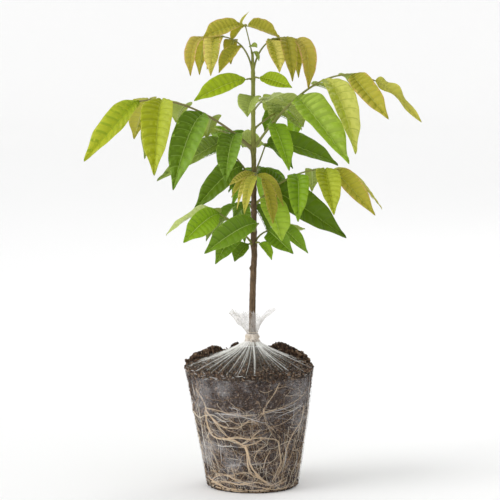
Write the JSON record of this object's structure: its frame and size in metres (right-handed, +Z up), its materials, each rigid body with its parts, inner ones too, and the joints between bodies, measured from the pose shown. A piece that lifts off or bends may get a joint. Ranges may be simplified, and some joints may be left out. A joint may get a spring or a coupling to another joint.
{
  "type": "potted longan tree",
  "caption": "Young longan tree with one slender stem and drooping pinnate leaves, standing on a tapered root ball wrapped in clear film that is tied round the stem.",
  "frame": {"origin": "centre of the flat underside of the root ball", "axes": "+Z up along the stem, -Y towards the side seen in the picture, +X to the right in it"},
  "size_m": [0.4178, 0.2479, 0.595],
  "materials": {
    "soil": "crumbly moist potting soil laced with tan roots",
    "film": "clear creased film",
    "tie": "wound tie",
    "bark": "brown bark, green towards the tip",
    "stalk": "smooth green stalk",
    "young": "soft bronze young leaf",
    "lime": "lime green leaf",
    "green": "glossy green leaf",
    "pale": "pale green leaf"
  },
  "bodies": {
    "root": {"root_ball": "soil", "film_sleeve": "film", "film_skirt": "film", "film_neck": "film", "neck_tie": "tie", "film_frill": "film", "stem": "bark", "leaf_big_left_stalk": "stalk", "leaf_big_left_inner": "lime", "leaf_big_left_outer": "lime", "leaf_big_right_stalk": "stalk", "leaf_big_right_inner": "lime", "leaf_big_right_outer": "lime", "leaf_low_left_stalk": "stalk", "leaf_low_left_foliage": "green", "leaf_low_right_stalk": "stalk", "leaf_low_right_foliage": "green", "leaf_low_front_stalk": "stalk", "leaf_low_front_foliage": "green", "leaf_mid_right_stalk": "stalk", "leaf_mid_right_inner": "green", "leaf_mid_right_outer": "green", "shoot_front_stalk": "stalk", "shoot_front_foliage": "young", "leaf_mid_left_stalk": "stalk", "leaf_mid_left_foliage": "green", "leaf_mid_back_right_stalk": "stalk", "leaf_mid_back_right_foliage": "green", "leaf_back_upper_stalk": "stalk", "leaf_back_upper_foliage": "pale", "leaf_upper_front_stalk": "stalk", "leaf_upper_front_foliage": "pale", "leaf_small_left_stalk": "stalk", "leaf_small_left_foliage": "lime", "leaf_small_right_stalk": "stalk", "leaf_small_right_foliage": "lime", "leaf_top_left_stalk": "stalk", "leaf_top_left_foliage": "young", "leaf_top_right_stalk": "stalk", "leaf_top_right_foliage": "young", "leaf_top_stalk": "stalk", "leaf_top_foliage": "young", "leaf_back_left_stalk": "stalk", "leaf_back_left_foliage": "green", "leaf_back_right_stalk": "stalk", "leaf_back_right_foliage": "green", "leaf_mid_back_stalk": "stalk", "leaf_mid_back_foliage": "green", "leaf_low_back_stalk": "stalk", "leaf_low_back_foliage": "green", "leaf_bottom_left_stalk": "stalk", "leaf_bottom_left_foliage": "green", "leaf_bottom_right_stalk": "stalk", "leaf_bottom_right_foliage": "green"}
  },
  "joints": []
}
